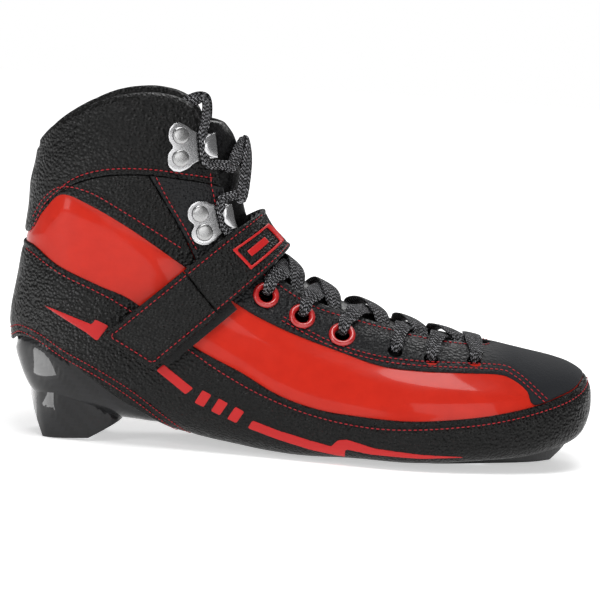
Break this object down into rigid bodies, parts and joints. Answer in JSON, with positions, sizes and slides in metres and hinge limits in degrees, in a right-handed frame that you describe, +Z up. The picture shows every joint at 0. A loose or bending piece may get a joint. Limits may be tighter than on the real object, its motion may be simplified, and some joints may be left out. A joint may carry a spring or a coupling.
{
  "type": "speed skate boot",
  "caption": "Low lace-up racing boot with a padded ankle cuff, glossy side windows, instep strap, lace hooks, a hard heel shell and mounting blocks under the sole.",
  "frame": {"origin": "centre of the bounding box, on the floor plane that both mounting blocks touch", "axes": "+X from heel to toe, +Y to the inner side of the foot, +Z up"},
  "size_m": [0.2912, 0.0988, 0.1745],
  "materials": {
    "pebbled_leather": "pebbled, satin",
    "patent_leather": "patent, high gloss",
    "lining": "matte mesh",
    "red_ring": "gloss",
    "hook_chrome": "polished",
    "rivet_chrome": "polished",
    "suede": "nubuck",
    "tongue_leather": "smooth gloss",
    "carbon": "carbon laminate under clear resin",
    "block": "carbon laminate under clear resin",
    "insert": "machined",
    "strap_leather": "pebbled, satin",
    "hook_and_loop": "hook and loop",
    "badge": "moulded, gloss",
    "lace": "braided",
    "aglet": "smooth"
  },
  "bodies": {
    "boot": {"quarter_lateral": "pebbled_leather", "ankle_panel_lateral": "pebbled_leather", "underlay_lateral": "patent_leather", "lining_lateral": "lining", "eyelet_lateral_1": "red_ring", "eyelet_lateral_2": "red_ring", "eyelet_lateral_3": "red_ring", "hook_lateral_lower": "hook_chrome", "rivet_lateral_lower_top": "rivet_chrome", "rivet_lateral_lower_bottom": "rivet_chrome", "hook_lateral_upper": "hook_chrome", "rivet_lateral_upper_top": "rivet_chrome", "rivet_lateral_upper_bottom": "rivet_chrome", "quarter_medial": "pebbled_leather", "ankle_panel_medial": "pebbled_leather", "underlay_medial": "patent_leather", "lining_medial": "lining", "eyelet_medial_1": "red_ring", "eyelet_medial_2": "red_ring", "eyelet_medial_3": "red_ring", "hook_medial_lower": "hook_chrome", "rivet_medial_lower_top": "rivet_chrome", "rivet_medial_lower_bottom": "rivet_chrome", "hook_medial_upper": "hook_chrome", "rivet_medial_upper_top": "rivet_chrome", "rivet_medial_upper_bottom": "rivet_chrome", "vamp": "suede", "cuff": "pebbled_leather", "carbon_shell": "carbon", "heel_block": "block", "toe_block": "block", "heel_insert": "insert", "toe_insert": "insert", "insole": "lining", "strap_anchor": "strap_leather", "loop_patch": "hook_and_loop", "lace": "lace", "aglet_a": "aglet", "aglet_b": "aglet"},
    "strap": {"strap": "strap_leather", "strap_badge": "badge"},
    "strap_tab": {"strap_tab": "strap_leather", "hook_patch": "hook_and_loop"},
    "tongue": {"tongue": "tongue_leather"}
  },
  "joints": [
    {"name": "strap_open", "type": "hinge", "parent": "boot", "child": "strap", "pos_m": [-0.03223, 0.02923, 0.0964], "axis": [-0.6768, 0, 0.7362], "range_deg": [0, 120]},
    {"name": "strap_tab_peel", "type": "hinge", "parent": "strap", "child": "strap_tab", "pos_m": [-0.05211, -0.03827, 0.07812], "axis": [-0.6768, 0, 0.7362], "range_deg": [0, 110]},
    {"name": "tongue_tilt", "type": "hinge", "parent": "boot", "child": "tongue", "pos_m": [0.09235, 0.00053, 0.05223], "axis": [0, -1, 0], "range_deg": [0, 8]}
  ]
}
